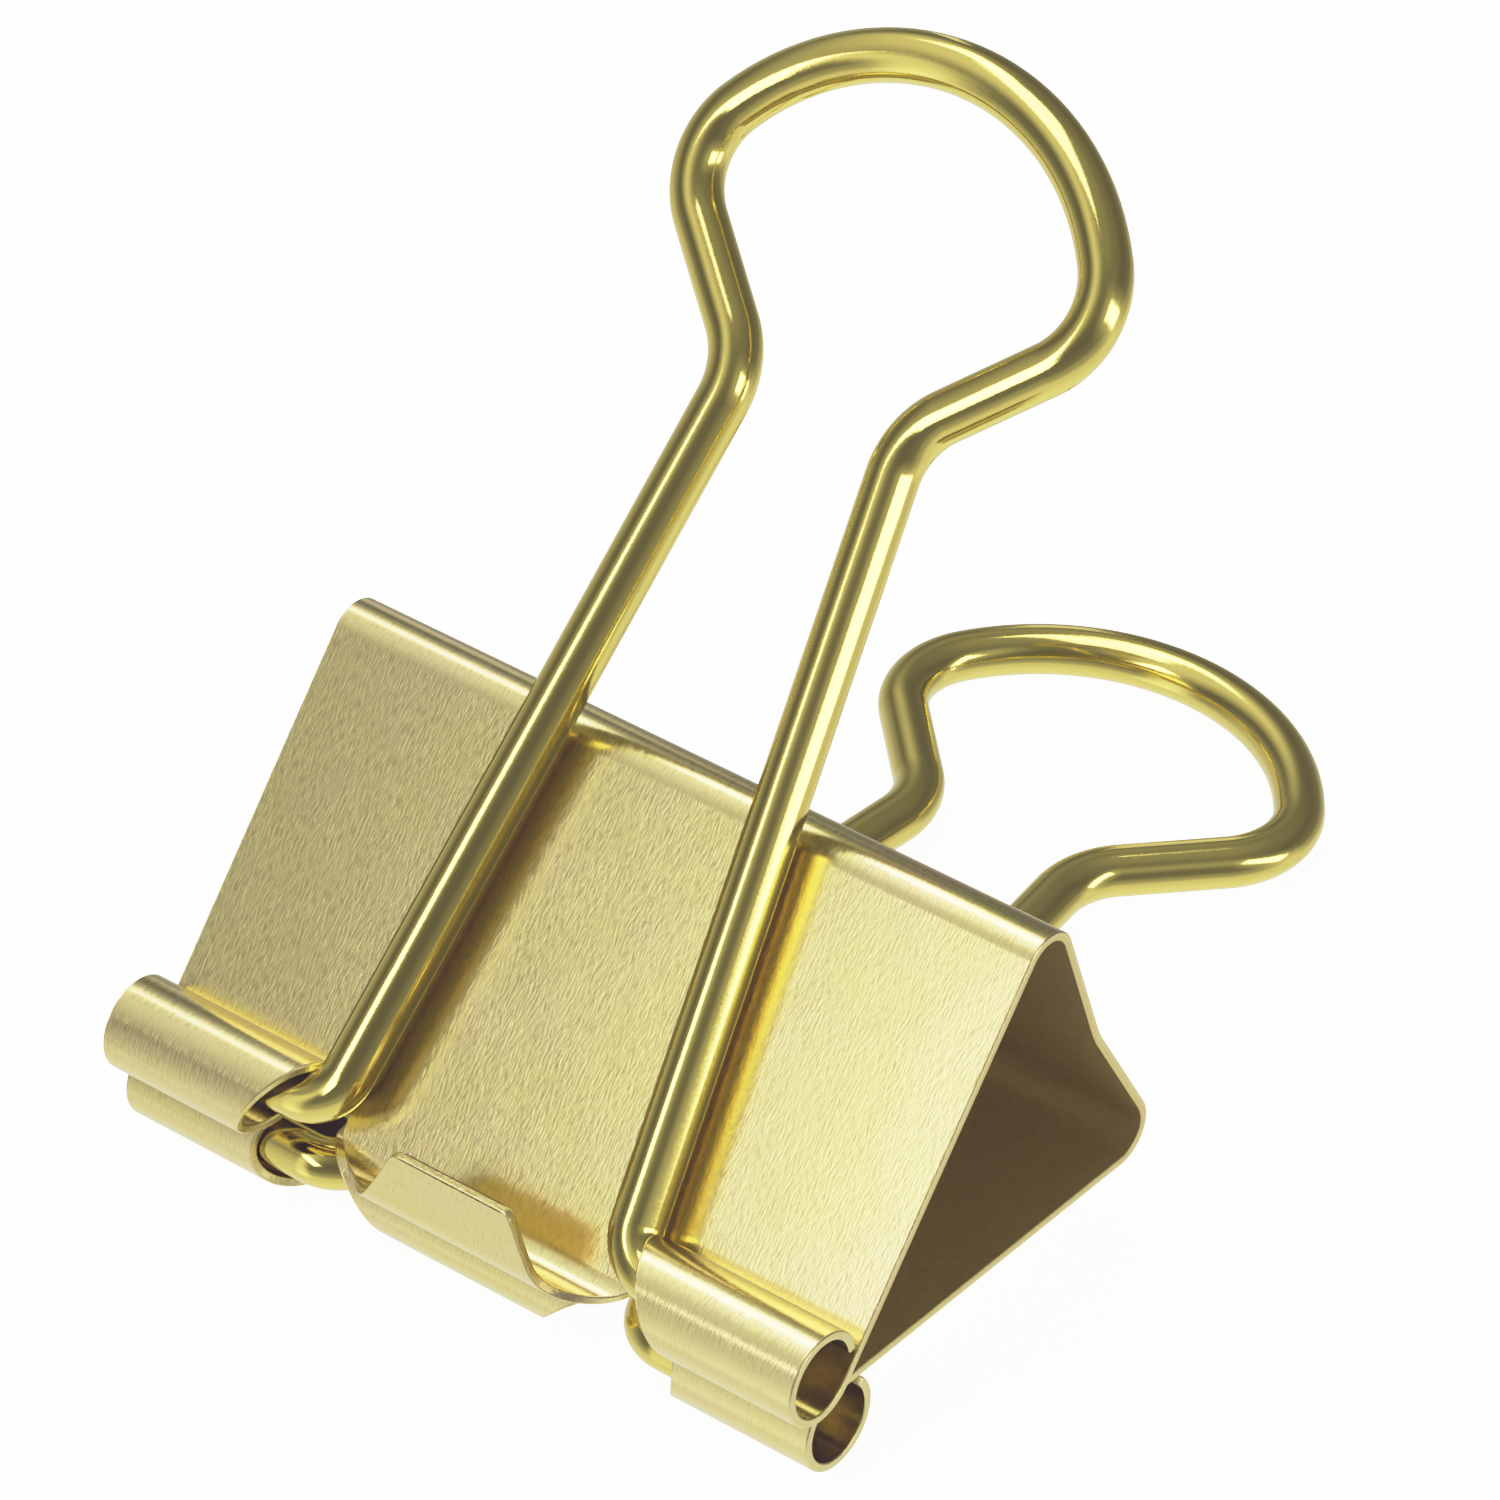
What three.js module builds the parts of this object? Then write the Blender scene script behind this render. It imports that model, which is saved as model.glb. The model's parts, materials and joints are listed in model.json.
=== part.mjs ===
// Binder clip, 19 mm size, in millimetres with +Z up.
//
// One spring-steel sheet is folded to a triangular tube whose two lips are rolled outward into a barrel at
// each end and a short tab in the middle. Two equal wire handles hinge in the barrels on their feet.
// The sheet is split at its two corner bends, where it flexes as the jaws open. The clip lies on its lower
// handle and lower barrels, with the lips towards -Y and both handles folded back over their plates.

import * as THREE from 'three';
import { mergeVertices } from 'three/addons/utils/BufferGeometryUtils.js';

const DEG = Math.PI / 180;

// Sheet: sizes across the fold are taken at the middle of its thickness.
const CLIP_WIDTH = 19;
const SHEET_THICKNESS = 0.22;
const PLATE_SLOPE = 24.5 * DEG; // each plate from the mid-plane
const PLATE_LENGTH = 9.6; // straight stretch between corner bend and roll
const CORNER_RADIUS = 0.75;
const DISH_ANGLE = 5.4 * DEG; // each half of the spine leans inward
const DISH_RADIUS = 2.6;
const ROLL_RADIUS = 1.01;
const BARREL_ROLL = 312 * DEG;
const TAB_ROLL = 190 * DEG;
const LIP_GAP = 0.04; // between the closed lips
const SPLIT_GAP = 0.12; // between the spine and a jaw
const LOWER_JAW_SKEW = 0.3; // the fold is out of square, so the lower barrels sit this far to -X

// Notch that a handle leg passes through, between tab and barrel.
const NOTCH_CENTRE = 4.8;
const NOTCH_RADIUS = 0.7;
const NOTCH_DEPTH = 0.6; // into the plate, from the start of the roll

// Handle wire, on its centre line.
const WIRE_RADIUS = 0.6;
const FOOT_END = 7.6;
const FOOT_CORNER = 4.08; // where the lines of leg and foot would meet
const FOOT_BEND_RADIUS = 1.0;
const LEG_LEAN = 5.9 * DEG;
const NECK_RADIUS = 2.0;
const NECK_SLANT = 45 * DEG;
const SHOULDER_RADIUS = 2.0;
const SHOULDER_HEIGHT = 22.15;
const HEAD_HALF_WIDTH = 5.2;
const HEAD_TOP = 25.85; // from the hinge axis

// The feet are loose in the barrels: a foot's offset from its barrel's axis, and the lower handle's play.
const FOOT_OFFSET = 0.25;
const LOWER_HANDLE_SHIFT = 0.15;

// Facets
const ARC_STEP = 13 * DEG;
const WIRE_SIDES = 14;
const NOTCH_STEPS = 5;

/**
 * A flat curve of arcs and straights, walked from a start point and heading.
 * Each piece is { length, turn }, and a straight has no turn. Anticlockwise turns are positive.
 */
function bentPath(start, heading, pieces) {
  const spans = [];
  let point = start;
  let angle = heading;
  let reached = 0;
  const step = (from, facing, distance, turn) => {
    const chord = turn === 0 ? distance : (2 * distance * Math.sin(turn / 2)) / turn;
    const direction = facing + turn / 2;
    return [from[0] + chord * Math.cos(direction), from[1] + chord * Math.sin(direction)];
  };
  for (const { length, turn = 0 } of pieces) {
    spans.push({ reached, length, turn, point, angle });
    point = step(point, angle, length, turn);
    angle += turn;
    reached += length;
  }
  const at = (s) => {
    const span = spans.findLast((candidate) => candidate.reached <= s + 1e-9) ?? spans[0];
    const along = s - span.reached;
    const turned = (span.turn * along) / span.length;
    return { point: step(span.point, span.angle, along, turned), heading: span.angle + turned };
  };
  const stations = spans.flatMap((span) => {
    const count = Math.max(1, Math.ceil(Math.abs(span.turn) / ARC_STEP));
    return Array.from({ length: count }, (_, k) => span.reached + (span.length * k) / count);
  });
  const starts = spans.map((span) => span.reached);
  return { at, length: reached, starts, stations: [...stations, reached] };
}

const arc = (radius, turn) => ({ length: radius * Math.abs(turn), turn });
const straight = (length) => ({ length });

/** Cubic through [r, x, slope] knots. */
function smoothOutline(knots) {
  return (r) => {
    const last = knots.length - 2;
    const k = Math.min(Math.max(knots.findLastIndex((knot) => knot[0] <= r), 0), last);
    const [r0, x0, slope0] = knots[k];
    const [r1, x1, slope1] = knots[k + 1];
    const span = r1 - r0;
    const t = (r - r0) / span;
    const blend = t * t * (3 - 2 * t);
    return x0 + (x1 - x0) * blend + span * t * (1 - t) * (slope0 * (1 - t) - slope1 * t);
  };
}

/** Closed body from a list of corner points and triangles, with shared corners merged. */
function closedGeometry(positions, triangles) {
  const loose = new THREE.BufferGeometry();
  loose.setAttribute('position', new THREE.Float32BufferAttribute(positions, 3));
  loose.setIndex(triangles);
  const merged = mergeVertices(loose, 1e-4);
  const corners = merged.index.array;
  const kept = [];
  for (let i = 0; i < corners.length; i += 3) {
    const [a, b, c] = corners.slice(i, i + 3);
    if (a !== b && b !== c && c !== a) {
      kept.push(a, b, c);
    }
  }
  merged.setIndex(kept);
  merged.computeVertexNormals();
  return merged;
}

/**
 * Bent sheet from rows across the clip. Each row has a middle point (y, z), a heading and the x of every
 * column edge, and filled(row, column) says whether the sheet is there between this row and the next.
 */
function sheetGeometry(rows, filled) {
  const columns = rows[0].xs.length;
  const positions = [];
  for (const { point, heading, xs } of rows) {
    for (const x of xs) {
      for (const side of [-1, 1]) {
        const offset = (side * SHEET_THICKNESS) / 2;
        positions.push(x, point[0] - offset * Math.sin(heading), point[1] + offset * Math.cos(heading));
      }
    }
  }
  const corner = (row, column, side) => (row * columns + column) * 2 + side;
  const triangles = [];
  const quad = (a, b, c, d) => triangles.push(a, b, c, a, c, d);
  const present = (row, column) =>
    row >= 0 && row < rows.length - 1 && column >= 0 && column < columns - 1 && filled(row, column);
  for (let row = 0; row < rows.length - 1; row += 1) {
    for (let column = 0; column < columns - 1; column += 1) {
      if (present(row, column)) {
        const [under, over] = [0, 1].map((side) => [
          corner(row, column, side),
          corner(row, column + 1, side),
          corner(row + 1, column + 1, side),
          corner(row + 1, column, side),
        ]);
        quad(...over);
        quad(...under.toReversed());
        const neighbours = [[row - 1, column], [row, column + 1], [row + 1, column], [row, column - 1]];
        neighbours.forEach((neighbour, k) => {
          if (!present(...neighbour)) {
            const next = (k + 1) % 4;
            quad(under[k], under[next], over[next], over[k]);
          }
        });
      }
    }
  }
  return closedGeometry(positions, triangles);
}

// Half of the fold, walked in (y, z) from the middle of the spine to the free end of a barrel. The roll's
// axis is at y = 0, so the lips meet there.
const rollAxisHeight = ROLL_RADIUS + SHEET_THICKNESS / 2 + LIP_GAP / 2;
const plateEnd = [ROLL_RADIUS * Math.sin(PLATE_SLOPE), rollAxisHeight - ROLL_RADIUS * Math.cos(PLATE_SLOPE)];
const cornerEnd = [
  plateEnd[0] + PLATE_LENGTH * Math.cos(PLATE_SLOPE),
  plateEnd[1] + PLATE_LENGTH * Math.sin(PLATE_SLOPE),
];
const cornerStart = [
  cornerEnd[0] + CORNER_RADIUS * (Math.sin(PLATE_SLOPE) + Math.cos(DISH_ANGLE)),
  cornerEnd[1] - CORNER_RADIUS * (Math.cos(PLATE_SLOPE) + Math.sin(DISH_ANGLE)),
];
const spineFlat = (cornerStart[1] - DISH_RADIUS * Math.sin(DISH_ANGLE)) / Math.cos(DISH_ANGLE);
const spineMiddle = [
  cornerStart[0] - spineFlat * Math.sin(DISH_ANGLE) - DISH_RADIUS * (1 - Math.cos(DISH_ANGLE)),
  0,
];
const fold = bentPath(spineMiddle, Math.PI / 2, [
  arc(DISH_RADIUS, -DISH_ANGLE),
  straight(spineFlat),
  arc(CORNER_RADIUS, Math.PI / 2 + PLATE_SLOPE + DISH_ANGLE),
  straight(PLATE_LENGTH),
  arc(ROLL_RADIUS, -BARREL_ROLL),
]);
const plateStart = fold.starts[3];
const rollStart = fold.starts[4];

function spineGeometry() {
  const end = plateStart - SPLIT_GAP / 2;
  const upper = [...fold.stations.filter((s) => s > 0 && s < end - 0.01), end];
  const mirrored = ({ point, heading }) => ({ point: [point[0], -point[1]], heading: Math.PI - heading });
  const rows = [
    ...upper.toReversed().map((s) => mirrored(fold.at(s))),
    fold.at(0),
    ...upper.map((s) => fold.at(s)),
  ].map((row) => ({ ...row, xs: [-CLIP_WIDTH / 2, CLIP_WIDTH / 2] }));
  return sheetGeometry(rows, () => true);
}

// Outlines of the tab and of a barrel's inner end, as [distance from the start of the roll, x, slope].
const notchMouth = NOTCH_RADIUS - NOTCH_DEPTH;
const tabLength = ROLL_RADIUS * TAB_ROLL;
const barrelLength = ROLL_RADIUS * BARREL_ROLL;
const tabEdge = smoothOutline([
  [notchMouth, NOTCH_CENTRE - NOTCH_RADIUS, 0],
  [1.4, 2.8, -0.5],
  [3.1, 1.85, -0.7],
  [tabLength, 1.3, -3],
]);
const barrelEdge = smoothOutline([
  [notchMouth, NOTCH_CENTRE + NOTCH_RADIUS, 0.4],
  [1.7, 5.85, 0],
  [3.4, 5.1, -0.3],
  [barrelLength, 4.8, 0],
]);

/** Jaw for the upper side. Its barrels are carried sideways by skew, from nothing at the corner bend. */
function jawGeometry(skew) {
  const notchRows = Array.from({ length: NOTCH_STEPS + 1 }, (_, k) => {
    const turn = (k / NOTCH_STEPS) * 90 * DEG;
    const opening = NOTCH_RADIUS * Math.sin(turn);
    return {
      r: notchMouth - NOTCH_RADIUS * Math.cos(turn),
      barrel: NOTCH_CENTRE + opening,
      tab: NOTCH_CENTRE - opening,
    };
  });
  const rollRows = fold.stations
    .map((s) => s - rollStart)
    .filter((r) => r > notchMouth + 0.05)
    .concat(tabLength)
    .sort((a, b) => a - b)
    .map((r) => ({ r, barrel: barrelEdge(r), tab: tabEdge(Math.min(r, tabLength)) }));
  const half = CLIP_WIDTH / 2;
  const columnsAt = (barrel, tab) => [-half, -barrel, -tab, tab, barrel, half];
  const skewAt = (r) => skew * Math.min(1, 1 + r / PLATE_LENGTH);
  const frames = [
    { r: plateStart + SPLIT_GAP / 2 - rollStart, xs: columnsAt(NOTCH_CENTRE, NOTCH_CENTRE) },
    ...notchRows.map(({ r, barrel, tab }) => ({ r, xs: columnsAt(barrel, tab) })),
    ...rollRows.map(({ r, barrel, tab }) => ({ r, xs: columnsAt(barrel, tab) })),
  ];
  const rows = frames.map(({ r, xs }) => ({
    r,
    xs: xs.map((x) => x + skewAt(r)),
    ...fold.at(rollStart + r),
  }));
  const inPlate = (row) => rows[row].r < -NOTCH_DEPTH - 1e-6;
  const inTab = (row) => rows[row].r < tabLength - 1e-6;
  return sheetGeometry(rows, (row, column) => {
    const isBarrel = column === 0 || column === 4;
    const isTab = column === 2 && inTab(row);
    return inPlate(row) || isBarrel || isTab;
  });
}

/** Round wire along a flat path in the XY plane, with flat ends. */
function wireGeometry(frames) {
  const positions = [];
  for (const { point, heading } of frames) {
    for (let side = 0; side < WIRE_SIDES; side += 1) {
      const around = (side / WIRE_SIDES) * 2 * Math.PI;
      const inPlane = WIRE_RADIUS * Math.cos(around);
      positions.push(
        point[0] - inPlane * Math.sin(heading),
        point[1] + inPlane * Math.cos(heading),
        WIRE_RADIUS * Math.sin(around),
      );
    }
  }
  const triangles = [];
  const corner = (ring, side) => ring * WIRE_SIDES + (side % WIRE_SIDES);
  for (let ring = 0; ring < frames.length - 1; ring += 1) {
    for (let side = 0; side < WIRE_SIDES; side += 1) {
      const [a, b] = [corner(ring, side), corner(ring, side + 1)];
      const [c, d] = [corner(ring + 1, side + 1), corner(ring + 1, side)];
      triangles.push(a, b, c, a, c, d);
    }
  }
  const lastRing = frames.length - 1;
  for (let side = 1; side < WIRE_SIDES - 1; side += 1) {
    triangles.push(corner(0, 0), corner(0, side + 1), corner(0, side));
    triangles.push(corner(lastRing, 0), corner(lastRing, side), corner(lastRing, side + 1));
  }
  return closedGeometry(positions, triangles);
}

/**
 * Handle in the XY plane: hinge axis along X, head towards +Y. Half of it is walked from the crown's top:
 * the crown's arc, the shoulder, a slanting straight, the neck, the leg and the bend to the foot.
 */
function handleGeometry() {
  const shoulderX = HEAD_HALF_WIDTH - SHOULDER_RADIUS;
  const shoulderDrop = HEAD_TOP - SHOULDER_HEIGHT;
  // The shoulder's circle touches the crown's from inside, which fixes the crown's radius.
  const crownRadius =
    (shoulderX ** 2 + shoulderDrop ** 2 - SHOULDER_RADIUS ** 2) / (2 * (shoulderDrop - SHOULDER_RADIUS));
  const crownTurn = Math.atan2(shoulderX, SHOULDER_HEIGHT - (HEAD_TOP - crownRadius));
  const slantHeading = NECK_SLANT + Math.PI;
  const legHeading = 1.5 * Math.PI + LEG_LEAN;

  // Where the slanting straight leaves the shoulder, and where its line meets the leg's line.
  const slantStart = [
    shoulderX + SHOULDER_RADIUS * Math.sin(NECK_SLANT),
    SHOULDER_HEIGHT - SHOULDER_RADIUS * Math.cos(NECK_SLANT),
  ];
  const slantSlope = 1 / Math.tan(NECK_SLANT);
  const legSlope = Math.tan(LEG_LEAN);
  const neckY =
    (FOOT_CORNER - slantStart[0] + slantSlope * slantStart[1]) / (slantSlope + legSlope);
  const neckX = FOOT_CORNER - legSlope * neckY;

  const neckTurn = legHeading - slantHeading;
  const footTurn = 2 * Math.PI - legHeading;
  const neckTangent = NECK_RADIUS * Math.tan(neckTurn / 2);
  const footTangent = FOOT_BEND_RADIUS * Math.tan(footTurn / 2);
  const slantLength = Math.hypot(slantStart[0] - neckX, slantStart[1] - neckY);
  const legLength = neckY / Math.cos(LEG_LEAN);
  const half = bentPath([0, HEAD_TOP], 0, [
    arc(crownRadius, -crownTurn),
    arc(SHOULDER_RADIUS, -(2 * Math.PI - slantHeading - crownTurn)),
    straight(slantLength - neckTangent),
    arc(NECK_RADIUS, neckTurn),
    straight(legLength - neckTangent - footTangent),
    arc(FOOT_BEND_RADIUS, footTurn),
    straight(FOOT_END - FOOT_CORNER - footTangent),
  ]);
  const right = half.stations.map((s) => half.at(s));
  const mirrored = ({ point, heading }) => ({ point: [-point[0], point[1]], heading: -heading });
  const left = right.slice(1).map(mirrored);
  return wireGeometry([...left.toReversed(), ...right]);
}

const goldSheet = new THREE.MeshStandardMaterial({ color: 0xcfc489, roughness: 0.42, metalness: 1 });
const goldWire = new THREE.MeshStandardMaterial({ color: 0xc2ab4a, roughness: 0.22, metalness: 1 });

function namedMesh(name, geometry, material) {
  const mesh = new THREE.Mesh(geometry, material);
  mesh.name = name;
  return mesh;
}

/**
 * One jaw with its handle, for the upper side. Half a turn about Y makes the lower side. The foot lies
 * offset from the barrel's axis along the plate, and the handle is shifted sideways.
 */
function clipSide(side, handle, { skew, offset, shift }) {
  const group = new THREE.Group();
  const handleMesh = namedMesh(`${side}_handle`, handle, goldWire);
  handleMesh.position.set(
    shift,
    offset * Math.cos(PLATE_SLOPE),
    rollAxisHeight + offset * Math.sin(PLATE_SLOPE),
  );
  handleMesh.rotation.x = PLATE_SLOPE;
  group.add(namedMesh(`${side}_jaw`, jawGeometry(skew), goldSheet), handleMesh);
  return group;
}

function binderClip() {
  const handle = handleGeometry();
  const upperSide = clipSide('upper', handle, { skew: 0, offset: FOOT_OFFSET, shift: 0 });
  const lowerSide = clipSide('lower', handle, {
    skew: LOWER_JAW_SKEW,
    offset: -FOOT_OFFSET,
    shift: LOWER_HANDLE_SHIFT,
  });
  lowerSide.rotation.y = Math.PI;

  // Barrels and handle head touch the surface together, so the lower plate is tilted by the difference of
  // their radii.
  const headReach = HEAD_TOP - FOOT_OFFSET;
  const restTilt = Math.asin((ROLL_RADIUS + SHEET_THICKNESS / 2 - WIRE_RADIUS) / headReach);
  const clip = new THREE.Group();
  clip.rotation.x = PLATE_SLOPE - restTilt;
  clip.add(namedMesh('spine', spineGeometry(), goldSheet), upperSide, lowerSide);

  // Origin at the middle of the base of the clip's own box.
  const placed = new THREE.Group();
  placed.add(clip);
  const box = new THREE.Box3().setFromObject(placed, true);
  clip.position.set(-(box.min.x + box.max.x) / 2, -(box.min.y + box.max.y) / 2, -box.min.z);
  return placed;
}

export default binderClip();
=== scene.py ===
"""Looks of the 19 mm binder clip: sheet body and wire handles in gold plate, with floor, light and camera.

Lengths are in millimetres until MM turns them into metres. The fold, the outlines and the handle repeat the
CAD part's driving dimensions, and their places come from its joints.
"""

import json
import math

import bpy
from mathutils import Matrix, Vector


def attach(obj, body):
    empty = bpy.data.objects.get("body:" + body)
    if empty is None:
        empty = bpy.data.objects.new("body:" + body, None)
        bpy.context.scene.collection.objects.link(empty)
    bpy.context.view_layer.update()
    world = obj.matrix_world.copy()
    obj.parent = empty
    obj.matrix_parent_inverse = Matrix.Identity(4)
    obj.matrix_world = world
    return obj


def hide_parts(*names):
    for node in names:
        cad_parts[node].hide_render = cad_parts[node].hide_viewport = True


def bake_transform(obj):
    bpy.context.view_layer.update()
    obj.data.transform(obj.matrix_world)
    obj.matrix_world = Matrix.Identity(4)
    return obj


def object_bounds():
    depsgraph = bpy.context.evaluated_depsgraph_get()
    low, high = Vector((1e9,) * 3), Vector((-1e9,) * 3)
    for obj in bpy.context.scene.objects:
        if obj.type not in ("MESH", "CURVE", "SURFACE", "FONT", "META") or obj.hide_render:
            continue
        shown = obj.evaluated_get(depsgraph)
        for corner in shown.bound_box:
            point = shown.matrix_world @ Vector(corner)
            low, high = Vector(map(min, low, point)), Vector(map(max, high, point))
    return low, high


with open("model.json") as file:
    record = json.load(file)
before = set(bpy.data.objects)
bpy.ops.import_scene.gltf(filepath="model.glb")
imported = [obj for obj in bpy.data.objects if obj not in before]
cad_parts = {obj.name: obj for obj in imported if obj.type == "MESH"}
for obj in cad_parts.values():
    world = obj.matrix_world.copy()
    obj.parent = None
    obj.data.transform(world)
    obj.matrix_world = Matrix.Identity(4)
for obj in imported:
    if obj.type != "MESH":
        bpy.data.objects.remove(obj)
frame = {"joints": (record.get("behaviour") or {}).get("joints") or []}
cad_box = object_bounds()

MM = 0.001
DEG = math.pi / 180

# Sheet, at the middle of its thickness.
CLIP_WIDTH = 19.0
SHEET_THICKNESS = 0.22
PLATE_SLOPE = 24.5 * DEG
PLATE_LENGTH = 9.6
CORNER_RADIUS = 0.75
DISH_ANGLE = 5.4 * DEG
DISH_RADIUS = 2.6
ROLL_RADIUS = 1.01
BARREL_ROLL = 312 * DEG
TAB_RADIUS = 0.8
TAB_BEND = 138 * DEG
TAB_FLAT = {"upper": 1.34, "lower": 0.95}  # the lower tab is shorter, clear of the surface under the clip
TAB_LEAD = 0.22  # the tab's bend starts this far past the start of the roll
TAB_SHIFT = 0.19  # sideways at the tab's free edge, which is cut a little askew
LIP_GAP = 0.04
LOWER_JAW_SKEW = 0.3
NOTCH_CENTRE = 4.8
NOTCH_RADIUS = 0.7
NOTCH_DEPTH = 0.6
TAB_CORNER_RADIUS = 0.15
RIM_RADIUS = 0.045  # rounding of the cut edges

# Handle wire, on its centre line.
WIRE_RADIUS = 0.6
FOOT_END = 7.6
FOOT_CORNER = 4.08
FOOT_BEND_RADIUS = 1.0
LEG_LEAN = 5.9 * DEG
NECK_RADIUS = 2.0
NECK_SLANT = 45 * DEG
SHOULDER_RADIUS = 2.0
SHOULDER_HEIGHT = 22.15
HEAD_HALF_WIDTH = 5.2
HEAD_TOP = 25.85
CUT_END_RADIUS = 0.12

# Fineness of the meshes.
ARC_STEP = 3 * DEG
PLATE_STEP = 0.4
BARREL_COLUMNS = 14
TAB_COLUMNS = 20
NOTCH_STEPS = 8
ROW_MARGIN = 0.02  # least distance between a row of the fold and a row of an outline's corner
RIM_STEPS = 4
WIRE_SIDES = 40
WIRE_STEP = 0.5


def advance(point, heading, length, turn):
    """The point that lies a stretch of arc or straight further along a flat curve."""
    chord = length if turn == 0 else 2 * length * math.sin(turn / 2) / turn
    direction = heading + turn / 2
    return (point[0] + chord * math.cos(direction), point[1] + chord * math.sin(direction))


class BentPath:
    """A flat curve of arcs and straights, each given as (length, turn), from a start point and heading."""

    def __init__(self, start, heading, pieces):
        self.spans = []
        point, reached = start, 0.0
        for length, turn in pieces:
            self.spans.append((reached, length, turn, point, heading))
            point = advance(point, heading, length, turn)
            heading += turn
            reached += length
        self.length = reached

    def at(self, s):
        """The point and the heading at distance s."""
        passed = [span for span in self.spans if span[0] <= s + 1e-9] or self.spans[:1]
        begin, length, turn, origin, facing = passed[-1]
        turned = turn * (s - begin) / length
        return advance(origin, facing, s - begin, turned), facing + turned

    def stations(self, longest):
        """Distances close enough together for smooth arcs, and never further apart than longest."""
        found = []
        for begin, length, turn, _, _ in self.spans:
            count = max(1, math.ceil(abs(turn) / ARC_STEP), math.ceil(length / longest))
            found += [begin + length * k / count for k in range(count)]
        return found + [self.length]


def arc(radius, turn):
    return (radius * abs(turn), turn)


def straight(length):
    return (length, 0.0)


def smooth_outline(knots):
    """Cubic through (r, x, slope) knots."""

    def outline(r):
        k = max([i for i, knot in enumerate(knots[:-1]) if knot[0] <= r], default=0)
        r0, x0, slope0 = knots[k]
        r1, x1, slope1 = knots[k + 1]
        span = r1 - r0
        t = (r - r0) / span
        blend = t * t * (3 - 2 * t)
        return x0 + (x1 - x0) * blend + span * t * (1 - t) * (slope0 * (1 - t) - slope1 * t)

    return outline


# The fold of the upper half, in (u, v): u runs from the lips to the spine, and v is up from the mid-plane.
roll_axis_height = ROLL_RADIUS + SHEET_THICKNESS / 2 + LIP_GAP / 2
corner_end = (
    ROLL_RADIUS * math.sin(PLATE_SLOPE) + PLATE_LENGTH * math.cos(PLATE_SLOPE),
    roll_axis_height - ROLL_RADIUS * math.cos(PLATE_SLOPE) + PLATE_LENGTH * math.sin(PLATE_SLOPE),
)
corner_start = (
    corner_end[0] + CORNER_RADIUS * (math.sin(PLATE_SLOPE) + math.cos(DISH_ANGLE)),
    corner_end[1] - CORNER_RADIUS * (math.cos(PLATE_SLOPE) + math.sin(DISH_ANGLE)),
)
spine_flat = (corner_start[1] - DISH_RADIUS * math.sin(DISH_ANGLE)) / math.cos(DISH_ANGLE)
spine_middle = (
    corner_start[0] - spine_flat * math.sin(DISH_ANGLE) - DISH_RADIUS * (1 - math.cos(DISH_ANGLE)),
    0.0,
)
spine_and_corner = [
    arc(DISH_RADIUS, -DISH_ANGLE),
    straight(spine_flat),
    arc(CORNER_RADIUS, math.pi / 2 + PLATE_SLOPE + DISH_ANGLE),
]
fold = BentPath(spine_middle, math.pi / 2, spine_and_corner + [
    straight(PLATE_LENGTH),
    arc(ROLL_RADIUS, -BARREL_ROLL),
])
tab_fold = BentPath(spine_middle, math.pi / 2, spine_and_corner + [
    straight(PLATE_LENGTH + TAB_LEAD),
    arc(TAB_RADIUS, -TAB_BEND),
    straight(max(TAB_FLAT.values())),
])
roll_start = fold.spans[4][0]
notch_mouth = NOTCH_RADIUS - NOTCH_DEPTH
bent_tab = TAB_LEAD + TAB_RADIUS * TAB_BEND
barrel_length = ROLL_RADIUS * BARREL_ROLL

# Outlines of the tab and of a barrel's inner end: knots of (distance past the start of the roll, x, slope).
tab_edge = smooth_outline([
    (notch_mouth, NOTCH_CENTRE - NOTCH_RADIUS, 0),
    (1.4, 2.86, -1.1),
    (2.2, 2.2, -0.55),
    (bent_tab + TAB_FLAT["upper"], 1.6, -0.45),
])
barrel_edge = smooth_outline([
    (notch_mouth, NOTCH_CENTRE + NOTCH_RADIUS, 0.4),
    (1.5, 5.85, 0),
    (2.5, 5.52, -0.5),
    (3.4, 5.03, -0.5),
    (4.2, 4.67, -0.35),
    (barrel_length, 4.45, -0.1),
])

# The clip's own axes in the frame: X along its width, U from lips to spine, V from lower to upper plate.
joints = {joint["name"]: joint for joint in frame["joints"]}
upper_hinge, lower_hinge = (Vector(joints[f"{side}_jaw_open"]["pos_m"]) for side in ("upper", "lower"))
X = Vector((1, 0, 0))
V = (upper_hinge - lower_hinge).normalized()
U = V.cross(X)
clip_origin = (upper_hinge + lower_hinge) / 2 - U * corner_end[0] * MM


def side_axes(side):
    """X, U and V for the upper side, and the same turned half a turn about U for the lower side."""
    return (X, U, V) if side == "upper" else (-X, U, -V)


def mesh_object(name, points, normals, faces, patterns, material):
    """A smooth mesh from points in metres with exact normals. patterns are named point attributes."""
    mesh = bpy.data.meshes.new(name)
    mesh.from_pydata(points, [], faces)
    mesh.validate()
    mesh.shade_smooth()
    for attribute, kind, values in patterns:
        layer = mesh.attributes.new(attribute, kind, "POINT")
        field = "vector" if kind == "FLOAT_VECTOR" else "value"
        flat = [number for value in values for number in value] if field == "vector" else values
        layer.data.foreach_set(field, flat)
    mesh.normals_split_custom_set_from_vertices([tuple(normal) for normal in normals])
    mesh.materials.append(material)
    piece = bpy.data.objects.new(name, mesh)
    bpy.context.scene.collection.objects.link(piece)
    return piece


# --- sheet -------------------------------------------------------------------------------------------

def spread(start, end, count):
    """count + 1 evenly spaced numbers."""
    return [start + (end - start) * k / count for k in range(count + 1)]


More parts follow.
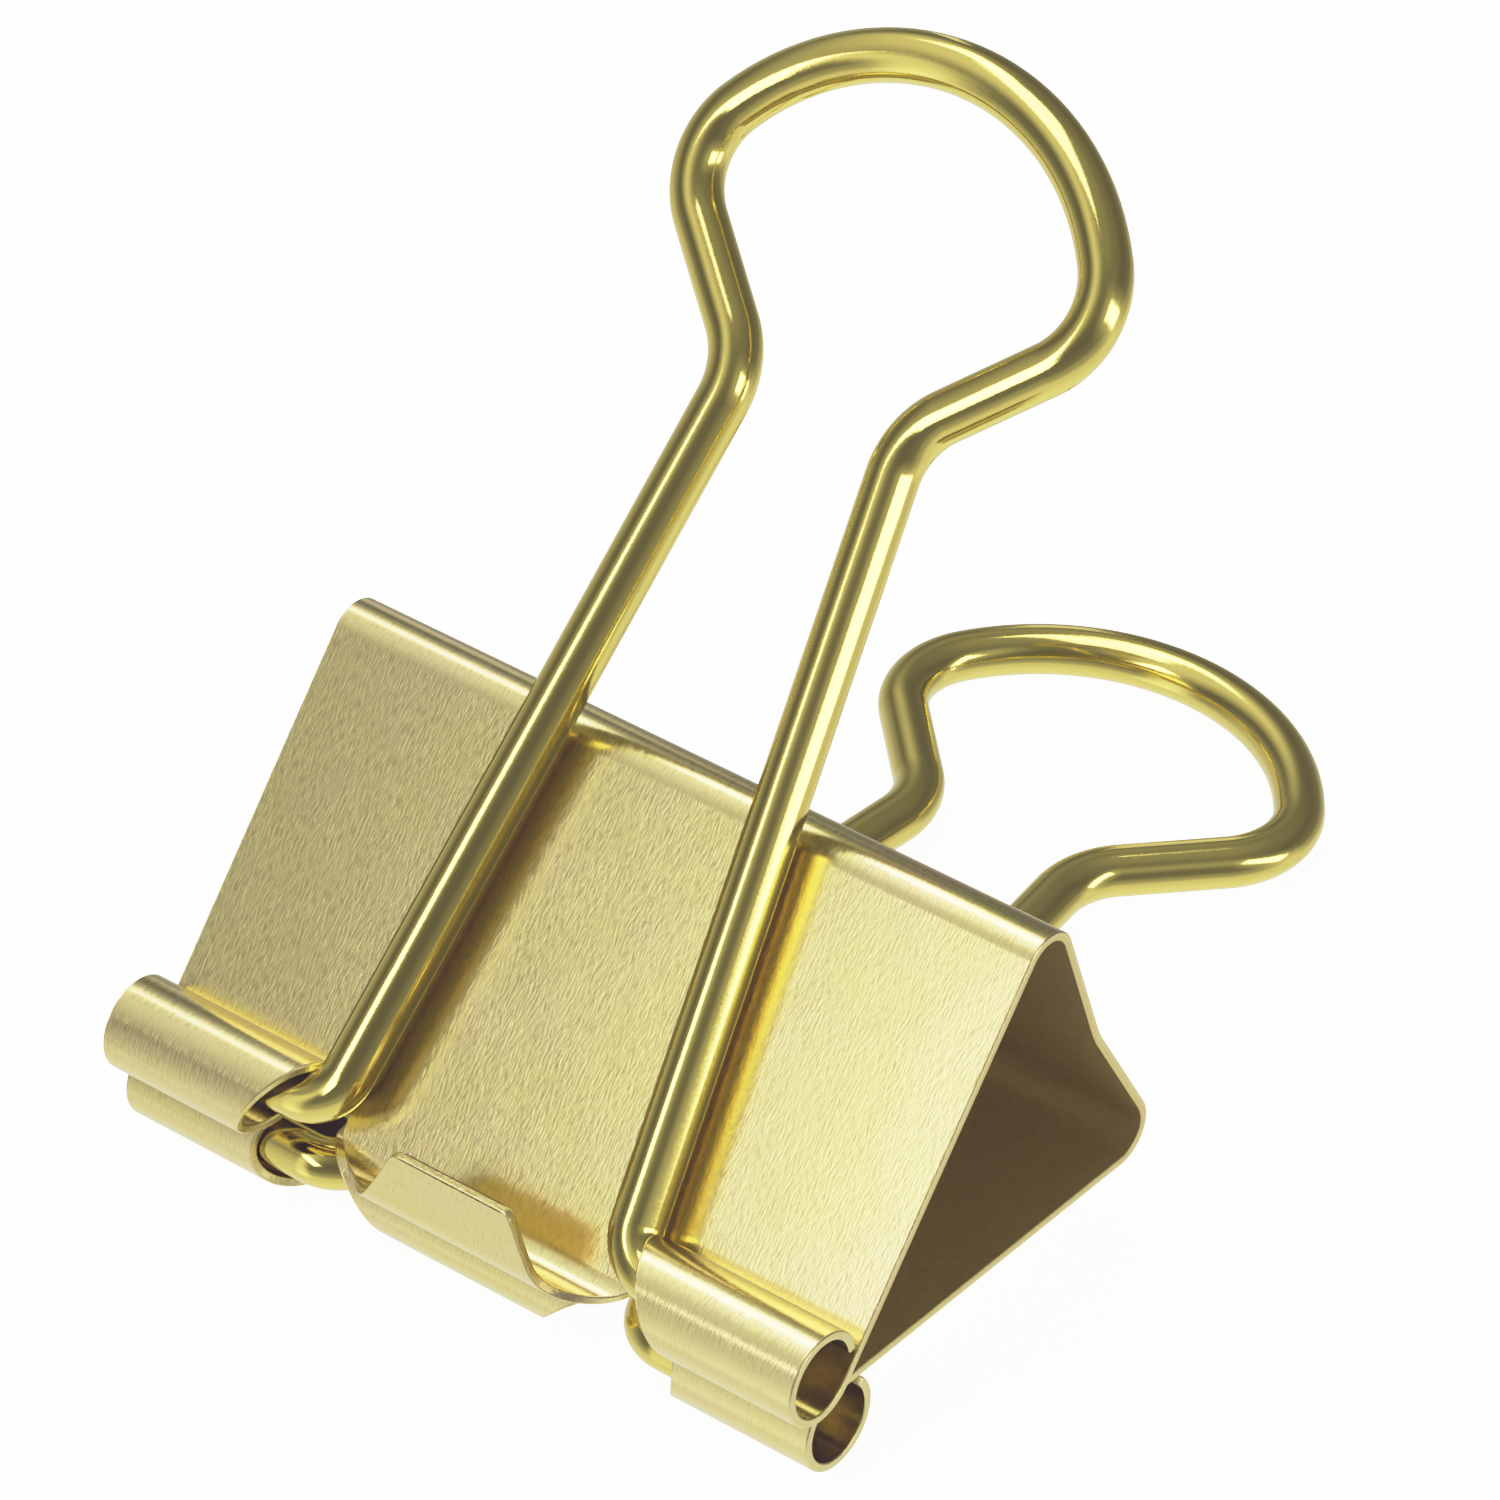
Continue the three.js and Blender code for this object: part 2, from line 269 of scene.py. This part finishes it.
def pattern_rows(tab_length):
    """Rows (s, x of each column) of the flat pattern from the spine's middle to the free ends."""

    def columns(barrel, tab):
        half = CLIP_WIDTH / 2
        return (
            spread(-half, -barrel, BARREL_COLUMNS)
            + spread(-tab, tab, TAB_COLUMNS)
            + spread(barrel, half, BARREL_COLUMNS)
        )

    stations = fold.stations(PLATE_STEP)
    plate_rows = [s for s in stations if s < roll_start - NOTCH_DEPTH - notch_mouth]
    rows = [(s, columns(NOTCH_CENTRE, NOTCH_CENTRE)) for s in plate_rows]
    for k in range(NOTCH_STEPS + 1):
        turn = k / NOTCH_STEPS * math.pi / 2
        opening = NOTCH_RADIUS * math.sin(turn)
        s = roll_start + notch_mouth - NOTCH_RADIUS * math.cos(turn)
        rows.append((s, columns(NOTCH_CENTRE + opening, NOTCH_CENTRE - opening)))
    corner_from = tab_length - TAB_CORNER_RADIUS
    corner = [corner_from + TAB_CORNER_RADIUS * math.sin(turn * DEG) for turn in range(15, 90, 15)]
    reaches = [s - roll_start for s in stations if s - roll_start > notch_mouth + ROW_MARGIN]
    reaches = [r for r in reaches if not corner_from < r < tab_length + ROW_MARGIN]
    for r in sorted(reaches + corner + [tab_length]):
        rounding = TAB_CORNER_RADIUS - math.sqrt(
            TAB_CORNER_RADIUS ** 2 - min(max(r - corner_from, 0.0), TAB_CORNER_RADIUS) ** 2
        )
        rows.append((roll_start + r, columns(barrel_edge(r), tab_edge(min(r, tab_length)) - rounding)))
    return rows


def flat_cells(rows, tab_length):
    """Merged (x, s) corners of the flat pattern, and its cells as corners listed anticlockwise."""
    corners, cells, known = [], [], {}
    tab_columns = range(BARREL_COLUMNS + 1, BARREL_COLUMNS + 1 + TAB_COLUMNS)
    gap_columns = (BARREL_COLUMNS, BARREL_COLUMNS + 1 + TAB_COLUMNS)

    def corner(row, column):
        place = (rows[row][1][column], rows[row][0])
        key = (round(place[0], 5), round(place[1], 5))
        if key not in known:
            known[key] = len(corners)
            corners.append(place)
        return known[key]

    for row in range(len(rows) - 1):
        s = rows[row][0]
        for column in range(len(rows[0][1]) - 1):
            beyond_tab = column in tab_columns and s > roll_start + tab_length - 1e-6
            if column in gap_columns or beyond_tab:
                continue
            cells.append((
                corner(row, column),
                corner(row, column + 1),
                corner(row + 1, column + 1),
                corner(row + 1, column),
            ))
    return corners, cells


def outline_edges(cells):
    """The directed edges on the pattern's outline, with the pattern on their left."""
    directed = {(cell[k], cell[(k + 1) % 4]) for cell in cells for k in range(4)}
    return sorted(edge for edge in directed if (edge[1], edge[0]) not in directed)


def outward_offsets(corners, edges):
    """For each corner on the cut outline, the vector that moves both of its edges outward by one."""
    normals = {}
    for a, b in edges:
        run = (corners[b][0] - corners[a][0], corners[b][1] - corners[a][1])
        size = math.hypot(*run)
        for end in (a, b):
            normals.setdefault(end, []).append((run[1] / size, -run[0] / size))
    offsets = {}
    for index, found in normals.items():
        total = [sum(normal[axis] for normal in found) for axis in (0, 1)]
        if len(found) == 1:
            offsets[index] = tuple(total)
        else:
            closeness = 1 + sum(found[0][axis] * found[1][axis] for axis in (0, 1))
            offsets[index] = tuple(part / closeness for part in total)
    return offsets


def half_sheet(side, skew, material):
    """One half of the folded sheet, from the spine's middle to the lips: a closed slab with round rims."""
    tab_length = bent_tab + TAB_FLAT[side]
    corners, cells = flat_cells(pattern_rows(tab_length), tab_length)
    outline = outline_edges(cells)
    seam = [edge for edge in outline if corners[edge[0]][1] < 1e-6 and corners[edge[1]][1] < 1e-6]
    cut = [edge for edge in outline if edge not in seam]
    offsets = outward_offsets(corners, cut)
    half = SHEET_THICKNESS / 2
    flat, flat_normals, rims = [], [], []  # (x, s, n), with n from the sheet's middle towards the inside

    def add(x, s, n, normal, rim):
        flat.append((x, s, n))
        flat_normals.append(normal)
        rims.append(rim)
        return len(flat) - 1

    # Faces of the sheet, drawn in from the outline to leave room for the rims.
    sides = {}
    for face, height in ((1, half), (-1, -half)):
        for index, (x, s) in enumerate(corners):
            inset = offsets.get(index, (0, 0))
            sides[face, index] = add(
                x - inset[0] * RIM_RADIUS, s - inset[1] * RIM_RADIUS, height, (0, 0, face), 0.0
            )

    # Rims: a quarter round, the cut wall and another quarter round.
    turns = spread(0, 90 * DEG, RIM_STEPS)
    profile = [(math.sin(t), half - RIM_RADIUS * (1 - math.cos(t)), math.cos(t)) for t in turns]
    profile += [(out, -height, -lean) for out, height, lean in reversed(profile)]
    rings = {}
    for index, offset in offsets.items():
        x, s = corners[index]
        size = math.hypot(*offset)
        ring = [sides[1, index]]
        for out, height, lean in profile[1:-1]:
            inset = RIM_RADIUS * (1 - out)
            normal = (offset[0] / size * out, offset[1] / size * out, lean)
            ring.append(add(x - offset[0] * inset, s - offset[1] * inset, height, normal, 1.0))
        ring.append(sides[-1, index])
        rings[index] = ring

    faces = [tuple(sides[1, index] for index in cell) for cell in cells]
    faces += [tuple(sides[-1, index] for index in reversed(cell)) for cell in cells]
    for a, b in cut:
        for k in range(len(profile) - 1):
            faces.append((rings[a][k], rings[a][k + 1], rings[b][k + 1], rings[b][k]))
    along = sorted({index for edge in seam for index in edge}, key=lambda index: corners[index][0])
    faces.append(tuple(
        [sides[1, index] for index in reversed(along)]
        + rings[along[0]][1:-1]
        + [sides[-1, index] for index in along]
        + rings[along[-1]][-2:0:-1]
    ))

    axis_x, axis_u, axis_v = side_axes(side)

    def bend(x, s, n):
        on_tab = s > roll_start and abs(x) < NOTCH_CENTRE - NOTCH_RADIUS + RIM_RADIUS
        (u, v), heading = (tab_fold if on_tab else fold).at(s)
        shift = skew * min(1.0, max(0.0, 1 + (s - roll_start) / PLATE_LENGTH))
        if on_tab:
            shift += TAB_SHIFT * ((s - roll_start) / (bent_tab + TAB_FLAT["upper"])) ** 2
        tangent = axis_u * math.cos(heading) + axis_v * math.sin(heading)
        upward = axis_v * math.cos(heading) - axis_u * math.sin(heading)
        point = clip_origin + (axis_x * (x + shift) + axis_u * u + axis_v * v + upward * n) * MM
        return point, tangent, upward

    points, normals = [], []
    for (x, s, n), (across, along_fold, up) in zip(flat, flat_normals):
        point, tangent, upward = bend(x, s, n)
        points.append(point)
        normals.append((axis_x * across + tangent * along_fold + upward * up).normalized())

    piece = mesh_object(f"{side}_half_sheet", points, normals, faces, [
        ("pattern", "FLOAT_VECTOR", flat),
        ("rim", "FLOAT", rims),
    ], material)
    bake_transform(piece)
    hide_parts(f"{side}_jaw", "spine")
    return piece


# --- wire handles ------------------------------------------------------------------------------------

def handle_path():
    """Half of the handle's centre line in (x, y), from the crown's top to the foot's end, hinged at y = 0."""
    shoulder_x = HEAD_HALF_WIDTH - SHOULDER_RADIUS
    shoulder_drop = HEAD_TOP - SHOULDER_HEIGHT
    crown_radius = (shoulder_x ** 2 + shoulder_drop ** 2 - SHOULDER_RADIUS ** 2) / (
        2 * (shoulder_drop - SHOULDER_RADIUS)
    )
    crown_turn = math.atan2(shoulder_x, SHOULDER_HEIGHT - (HEAD_TOP - crown_radius))
    slant_heading = NECK_SLANT + math.pi
    leg_heading = 1.5 * math.pi + LEG_LEAN

    slant_start = (
        shoulder_x + SHOULDER_RADIUS * math.sin(NECK_SLANT),
        SHOULDER_HEIGHT - SHOULDER_RADIUS * math.cos(NECK_SLANT),
    )
    slant_slope = 1 / math.tan(NECK_SLANT)
    leg_slope = math.tan(LEG_LEAN)
    neck_y = (FOOT_CORNER - slant_start[0] + slant_slope * slant_start[1]) / (slant_slope + leg_slope)
    neck_x = FOOT_CORNER - leg_slope * neck_y

    neck_turn = leg_heading - slant_heading
    foot_turn = 2 * math.pi - leg_heading
    neck_tangent = NECK_RADIUS * math.tan(neck_turn / 2)
    foot_tangent = FOOT_BEND_RADIUS * math.tan(foot_turn / 2)
    slant_length = math.hypot(slant_start[0] - neck_x, slant_start[1] - neck_y)
    leg_length = neck_y / math.cos(LEG_LEAN)
    return BentPath((0, HEAD_TOP), 0, [
        arc(crown_radius, -crown_turn),
        arc(SHOULDER_RADIUS, -(2 * math.pi - slant_heading - crown_turn)),
        straight(slant_length - neck_tangent),
        arc(NECK_RADIUS, neck_turn),
        straight(leg_length - neck_tangent - foot_tangent),
        arc(FOOT_BEND_RADIUS, foot_turn),
        straight(FOOT_END - FOOT_CORNER - foot_tangent),
    ])


def wire_rings(path):
    """Rings (centre, heading, distance, radius, end lean) along the whole handle, with rounded cut ends."""
    rings = []
    for s in path.stations(WIRE_STEP):
        point, heading = path.at(s)
        rings.append((point, heading, s, WIRE_RADIUS, 0.0))
    (end_x, end_y), heading, s, _, _ = rings.pop()
    for turn in spread(0, 90 * DEG, RIM_STEPS):
        back = CUT_END_RADIUS * (1 - math.sin(turn))
        centre = (end_x - back * math.cos(heading), end_y - back * math.sin(heading))
        rings.append((centre, heading, s - back, WIRE_RADIUS - CUT_END_RADIUS * (1 - math.cos(turn)), turn))
    left = [((-x, y), -heading, -s, radius, -lean) for (x, y), heading, s, radius, lean in rings[1:]]
    return left[::-1] + rings


def handle(side, material):
    """A wire handle that rides on its own body, hinged at its feet."""
    axis_x, axis_u, axis_v = side_axes(side)
    leg = axis_u * math.cos(PLATE_SLOPE) + axis_v * math.sin(PLATE_SLOPE)
    upward = axis_x.cross(leg)
    hinge = Vector(joints[f"{side}_handle_swing"]["pos_m"])
    rings = wire_rings(handle_path())
    points, normals, pattern, cuts = [], [], [], []
    for (x, y), heading, s, radius, lean in rings:
        centre = hinge + (axis_x * x + leg * y) * MM
        ahead = axis_x * math.cos(heading) + leg * math.sin(heading)
        across = leg * math.cos(heading) - axis_x * math.sin(heading)
        for k in range(WIRE_SIDES):
            around = k / WIRE_SIDES * 2 * math.pi
            outward = across * math.cos(around) + upward * math.sin(around)
            points.append(centre + outward * radius * MM)
            normals.append(outward * math.cos(lean) + ahead * math.sin(lean))
            pattern.append((radius * math.cos(around), s, radius * math.sin(around)))
            cuts.append(min(1.0, abs(lean)))
    faces = []
    for ring in range(len(rings) - 1):
        for k in range(WIRE_SIDES):
            a, b = ring * WIRE_SIDES + k, ring * WIRE_SIDES + (k + 1) % WIRE_SIDES
            faces.append((a, b, b + WIRE_SIDES, a + WIRE_SIDES))
    last = (len(rings) - 1) * WIRE_SIDES
    faces.append(tuple(reversed(range(WIRE_SIDES))))
    faces.append(tuple(range(last, last + WIRE_SIDES)))
    piece = mesh_object(f"{side}_wire_handle", points, normals, faces, [
        ("pattern", "FLOAT_VECTOR", pattern),
        ("rim", "FLOAT", cuts),
    ], material)
    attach(piece, f"{side}_handle")
    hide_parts(f"{side}_handle")
    return piece


# --- materials ---------------------------------------------------------------------------------------

SHEET_GOLD = (0.80, 0.705, 0.29, 1)
SHEET_GOLD_WARMER = (0.82, 0.69, 0.33, 1)
SHEET_SPECKS = (0.60, 0.50, 0.20, 1)
WIRE_GOLD = (0.80, 0.675, 0.17, 1)


class NodeTree:
    """Short calls for building a node tree."""

    def __init__(self, tree):
        self.tree = tree

    def add(self, kind, inputs=None, **settings):
        node = self.tree.nodes.new(f"ShaderNode{kind}")
        for setting, value in settings.items():
            setattr(node, setting, value)
        for socket, value in (inputs or {}).items():
            self.set(node.inputs[socket], value)
        return node

    def set(self, socket, value):
        if isinstance(value, bpy.types.NodeSocket):
            self.tree.links.new(value, socket)
        else:
            socket.default_value = value

    def attribute(self, name, output):
        return self.add("Attribute", attribute_name=name).outputs[output]

    def stretched(self, vector, scale):
        return self.add("Mapping", {"Vector": vector, "Scale": scale}).outputs["Vector"]

    def noise(self, vector, scale, detail=2.0, roughness=0.5):
        inputs = {"Vector": vector, "Scale": scale, "Detail": detail, "Roughness": roughness}
        return self.add("TexNoise", inputs).outputs["Fac"]

    def math(self, operation, *values):
        return self.add("Math", dict(enumerate(values)), operation=operation).outputs[0]

    def ranged(self, value, low, high, to_low, to_high):
        inputs = {"Value": value, "From Min": low, "From Max": high, "To Min": to_low, "To Max": to_high}
        return self.add("MapRange", inputs).outputs["Result"]

    def mix(self, share, first, second):
        node = self.add("Mix", data_type="RGBA")
        self.set(node.inputs["Factor"], share)
        self.set(node.inputs["A"], first)
        self.set(node.inputs["B"], second)
        return node.outputs["Result"]

    def bump(self, height, strength, distance, normal=None):
        inputs = {"Height": height, "Strength": strength, "Distance": distance * MM}
        if normal is not None:
            inputs["Normal"] = normal
        return self.add("Bump", inputs).outputs["Normal"]


def metal(name):
    """A metallic material, the calls to build on it and its shader."""
    material = bpy.data.materials.new(name)
    material.use_nodes = True
    nodes = NodeTree(material.node_tree)
    principled = material.node_tree.nodes["Principled BSDF"]
    principled.inputs["Metallic"].default_value = 1.0
    return material, nodes, principled


def gold_sheet():
    """Pale plating with a fine grain along the fold, a slight peel, slow waves and rougher cut rims."""
    material, nodes, principled = metal("gold_sheet")
    pattern = nodes.attribute("pattern", "Vector")
    rim = nodes.attribute("rim", "Fac")
    grain = nodes.noise(nodes.stretched(pattern, (18, 4, 18)), 1.0, detail=2.0)
    peel = nodes.noise(pattern, 6.0, detail=2.0)
    waves = nodes.noise(pattern, 0.7, detail=1.0)
    burr = nodes.noise(pattern, 11.0, detail=3.0)
    tint = nodes.ranged(nodes.noise(pattern, 0.35, detail=3.0), 0.4, 0.65, 0.0, 1.0)
    plating = nodes.mix(tint, SHEET_GOLD, SHEET_GOLD_WARMER)
    specks = nodes.ranged(grain, 0.3, 0.5, 0.35, 0.0)
    nodes.set(principled.inputs["Base Color"], nodes.mix(specks, plating, SHEET_SPECKS))
    # Inside the fold the sheet is duller than outside it.
    place = nodes.add("SeparateXYZ", {"Vector": pattern})
    inner = nodes.math("GREATER_THAN", place.outputs["Z"], 0)
    before_roll = nodes.math("LESS_THAN", place.outputs["Y"], roll_start - NOTCH_DEPTH)
    dull = nodes.math("MULTIPLY", inner, before_roll)
    rougher_rim = nodes.math("MULTIPLY", rim, 0.1)
    roughness = nodes.math("ADD", nodes.ranged(grain, 0.3, 0.7, 0.18, 0.25), rougher_rim)
    roughness = nodes.math("ADD", roughness, nodes.math("MULTIPLY", dull, 0.25))
    nodes.set(principled.inputs["Roughness"], roughness)
    normal = nodes.bump(grain, 0.5, 0.004)
    normal = nodes.bump(peel, 0.4, 0.004, normal)
    normal = nodes.bump(waves, 0.3, 0.012, normal)
    normal = nodes.bump(nodes.math("MULTIPLY", burr, rim), 0.5, 0.03, normal)
    nodes.set(principled.inputs["Normal"], normal)
    return material


def gold_wire():
    """Deeper, glossier plating with draw marks along the wire."""
    material, nodes, principled = metal("gold_wire")
    principled.inputs["Base Color"].default_value = WIRE_GOLD
    pattern = nodes.attribute("pattern", "Vector")
    draw = nodes.noise(nodes.stretched(pattern, (9, 0.8, 9)), 1.0, detail=3.0)
    grain = nodes.noise(pattern, 12.0, detail=2.0)
    nodes.set(principled.inputs["Roughness"], nodes.ranged(grain, 0.3, 0.7, 0.09, 0.14))
    normal = nodes.bump(draw, 0.3, 0.003)
    normal = nodes.bump(grain, 0.3, 0.002, normal)
    nodes.set(principled.inputs["Normal"], normal)
    return material


# --- floor, light and camera -------------------------------------------------------------------------

CAMERA_AZIMUTH = 38.878 * DEG  # 0 looks along +Y, 90 along -X
CAMERA_ELEVATION = 38.378 * DEG
CAMERA_ROLL = 0.995 * DEG
CAMERA_DISTANCE = 178.89
CAMERA_AIM = (0.791, -4.061, 9.993)
CAMERA_LENS = 200.67
CAMERA_SENSOR = 36
CAMERA_CLIP = (0.01, 10)  # metres

FLOOR_RADIUS = 3.0  # metres
FLOOR_SIDES = 96
FLOOR_GREY = 0.9
FLOOR_GLOW = 1.8


def camera():
    data = bpy.data.cameras.new("camera")
    data.lens = CAMERA_LENS
    data.sensor_width = CAMERA_SENSOR
    data.clip_start, data.clip_end = CAMERA_CLIP
    viewer = bpy.data.objects.new("camera", data)
    back = Vector((
        math.sin(CAMERA_AZIMUTH) * math.cos(CAMERA_ELEVATION),
        -math.cos(CAMERA_AZIMUTH) * math.cos(CAMERA_ELEVATION),
        math.sin(CAMERA_ELEVATION),
    ))
    turned = (-back).to_track_quat("-Z", "Y").to_matrix() @ Matrix.Rotation(-CAMERA_ROLL, 3, "Z")
    place = (Vector(CAMERA_AIM) + back * CAMERA_DISTANCE) * MM
    viewer.matrix_world = Matrix.Translation(place) @ turned.to_4x4()
    bpy.context.scene.collection.objects.link(viewer)
    bpy.context.scene.camera = viewer


def floor():
    """A pale disc that the clip lies on."""
    turns = [k / FLOOR_SIDES * 2 * math.pi for k in range(FLOOR_SIDES)]
    ring = [(FLOOR_RADIUS * math.cos(turn), FLOOR_RADIUS * math.sin(turn), 0) for turn in turns]
    mesh = bpy.data.meshes.new("floor")
    mesh.from_pydata(ring, [], [tuple(range(FLOOR_SIDES))])
    material = bpy.data.materials.new("floor")
    material.use_nodes = True
    principled = material.node_tree.nodes["Principled BSDF"]
    principled.inputs["Base Color"].default_value = (FLOOR_GREY, FLOOR_GREY, FLOOR_GREY, 1)
    principled.inputs["Roughness"].default_value = 0.9
    principled.inputs["Emission Color"].default_value = (1, 1, 1, 1)
    principled.inputs["Emission Strength"].default_value = FLOOR_GLOW
    mesh.materials.append(material)
    piece = bpy.data.objects.new("floor", mesh)
    # The gold reflects the surround's own lower half in place of the floor.
    piece.visible_glossy = False
    piece.visible_shadow = False
    bpy.context.scene.collection.objects.link(piece)


# Soft boxes: azimuth (0 towards +Y, 90 towards +X), elevation, distance, width, height, roll, radiance.
SOFT_BOXES = {
    "overhead": (-100, 78, 260, 170, 120, 0, 2.8),
    "overhead_wing": (-58, 58, 260, 75, 75, 0, 2.6),
    "right_strip": (88, 10, 240, 60, 230, 42, 3.4),
    "front_left": (-168.5, 27, 400, 240, 80, -37, 4.3),
    "back_strip": (-34, 12, 260, 18, 110, 0, 0.7),
}
# Surround: brightness by height on a unit sphere, from straight down to straight up.
SURROUND = ((-1.0, 1.0), (-0.6, 0.8), (-0.3, 0.4), (0.0, 0.18), (0.4, 0.13), (0.8, 0.2), (1.0, 0.3))
# Soft glows on it: azimuth, elevation, roll, half width, half height and softness in degrees, and radiance.
GLOWS = (
    (-110, 55, 0, 45, 14, 16, 0.6),
    (-157, -8, 0, 9, 32, 8, 0.75),
    (88, 6, 42, 14, 48, 14, 0.35),
    (-80, -8, 0, 40, 18, 16, 0.25),
)


# Camera's curve as (light, shown) points, and the lifted black of red, green and blue.
TONE_CURVE = ((0.35, 0.36), (0.7, 0.69), (1.09, 0.852), (1.5, 0.925), (2.2, 0.98))
TONE_BLACK = (0.026, 0.019, 0.024)
TONE_WHITE = 4


def toward(azimuth, elevation):
    a, e = azimuth * DEG, elevation * DEG
    return Vector((math.sin(a) * math.cos(e), math.cos(a) * math.cos(e), math.sin(e)))


def facing(out, roll):
    """Axes of a panel that faces back along out, as a matrix."""
    return out.to_track_quat("Z", "Y").to_matrix() @ Matrix.Rotation(roll * DEG, 3, "Z")


def soft_boxes():
    middle = (cad_box[0] + cad_box[1]) / 2
    for name, (azimuth, elevation, distance, width, height, roll, radiance) in SOFT_BOXES.items():
        data = bpy.data.lights.new(name, "AREA")
        data.shape = "RECTANGLE"
        data.size, data.size_y = width * MM, height * MM
        data.energy = radiance * math.pi * data.size * data.size_y
        lamp = bpy.data.objects.new(name, data)
        out = toward(azimuth, elevation)
        lamp.matrix_world = Matrix.Translation(middle + out * distance * MM) @ facing(out, roll).to_4x4()
        lamp.visible_camera = False
        bpy.context.scene.collection.objects.link(lamp)


def surround():
    """Grey studio walls, and the pale table as the gold reflects it."""
    world = bpy.data.worlds.new("studio")
    bpy.context.scene.world = world
    world.use_nodes = True
    nodes = NodeTree(world.node_tree)
    direction = nodes.add("TexCoord").outputs["Generated"]
    level = nodes.add("SeparateXYZ", {"Vector": direction}).outputs["Z"]
    ramp = nodes.add("ValToRGB", {"Fac": nodes.ranged(level, -1, 1, 0, 1)})
    ramp.color_ramp.interpolation = "EASE"
    while len(ramp.color_ramp.elements) < len(SURROUND):
        ramp.color_ramp.elements.new(0.5)
    for element, (place, grey) in zip(ramp.color_ramp.elements, SURROUND):
        element.position = (place + 1) / 2
        element.color = (grey, grey, grey, 1)
    strength = nodes.add("SeparateColor", {"Color": ramp.outputs["Color"]}).outputs["Red"]

    def along(axis):
        inputs = {0: direction, 1: tuple(axis)}
        return nodes.add("VectorMath", inputs, operation="DOT_PRODUCT").outputs["Value"]

    for azimuth, elevation, roll, half_width, half_height, softness, radiance in GLOWS:
        right, up, out = facing(toward(azimuth, elevation), roll).transposed()
        sideways = nodes.math("ARCTAN2", along(right), along(out))
        upward = nodes.math("ARCSINE", along(up))
        share = radiance
        for angle, half in ((sideways, half_width), (upward, half_height)):
            size = nodes.math("ABSOLUTE", angle)
            fade = nodes.add("MapRange", {
                "Value": size,
                "From Min": (half - softness) * DEG,
                "From Max": (half + softness) * DEG,
                "To Min": 1.0,
                "To Max": 0.0,
            }, interpolation_type="SMOOTHSTEP").outputs["Result"]
            share = nodes.math("MULTIPLY", share, fade)
        strength = nodes.math("ADD", strength, share)
    nodes.set(world.node_tree.nodes["Background"].inputs["Strength"], strength)
    world.node_tree.nodes["Background"].inputs["Color"].default_value = (1, 1, 1, 1)


def tone():
    """Lifted blacks, straight up to about 0.7, then a shoulder where highlights turn pale."""
    settings = bpy.context.scene.view_settings
    settings.view_transform = "Standard"
    settings.use_curve_mapping = True
    mapping = settings.curve_mapping
    mapping.clip_max_x = TONE_WHITE
    for curve, black in zip(mapping.curves, TONE_BLACK):
        curve.points[0].location = (0, black)
        curve.points[1].location = (TONE_WHITE, 1)
        for light, shown in TONE_CURVE:
            curve.points.new(light, shown)
    mapping.update()


sheet_finish = gold_sheet()
wire_finish = gold_wire()
half_sheet("upper", 0.0, sheet_finish)
half_sheet("lower", LOWER_JAW_SKEW, sheet_finish)
handle("upper", wire_finish)
handle("lower", wire_finish)
floor()
soft_boxes()
surround()
camera()
tone()
